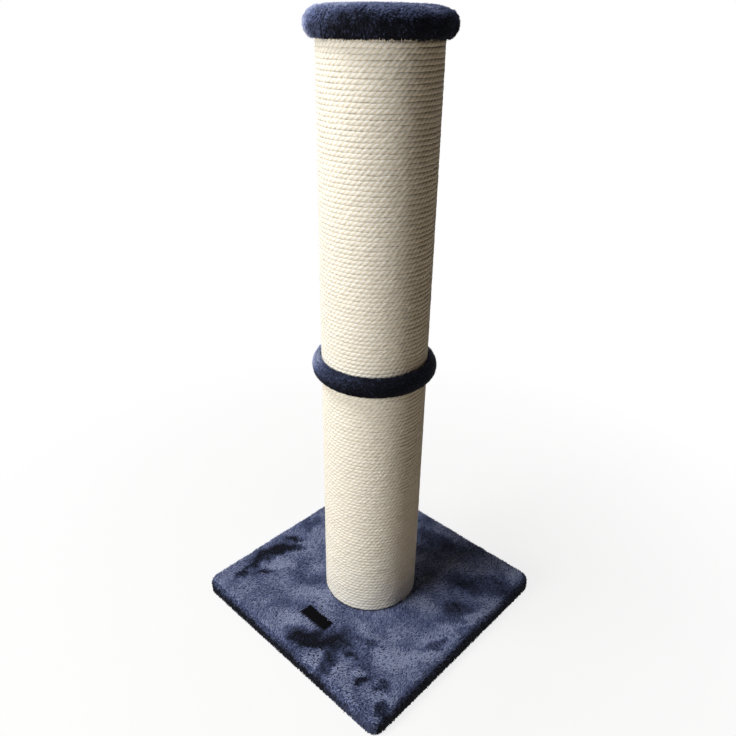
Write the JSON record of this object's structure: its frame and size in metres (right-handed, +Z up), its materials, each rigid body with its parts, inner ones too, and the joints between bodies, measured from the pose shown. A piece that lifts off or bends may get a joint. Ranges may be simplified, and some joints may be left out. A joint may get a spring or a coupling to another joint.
{
  "type": "cat scratching post",
  "caption": "Free-standing cat scratching post: square plush-covered base, thick sisal-wound round post in two stacked sections with a plush collar at the joint, and a padded plush cap.",
  "frame": {"origin": "middle of the base's underside, on the floor", "axes": "+Z up along the post, +X and +Y along the base's sides, with the label side facing -Y"},
  "size_m": [0.396, 0.396, 0.9],
  "materials": {
    "plush": "short dark blue-grey plush pile",
    "sisal": "pale twisted sisal rope",
    "label": "black woven label, blank",
    "board": "raw fibreboard",
    "cardboard": "spiral-wound cardboard",
    "foam": "soft open-cell foam",
    "steel": "zinc-plated steel"
  },
  "bodies": {
    "root": {"base_board": "board", "base_plush_cover": "plush", "base_hem_staples": "steel", "base_label": "label", "base_bolt": "steel", "base_washer": "steel", "lower_tube": "cardboard", "lower_foot_plug": "board", "lower_head_plug": "board", "lower_tee_nuts": "steel", "lower_plug_nails": "steel", "lower_sisal_rope": "sisal", "upper_tube": "cardboard", "upper_foot_plug": "board", "upper_head_plug": "board", "upper_tee_nuts": "steel", "upper_plug_nails": "steel", "upper_sisal_rope": "sisal", "joint_stud": "steel", "collar_core": "foam", "collar_plush_cover": "plush", "cap_board": "board", "cap_bolt": "steel", "cap_pad": "foam", "cap_plush_cover": "plush", "cap_hem_staples": "steel"}
  },
  "joints": []
}
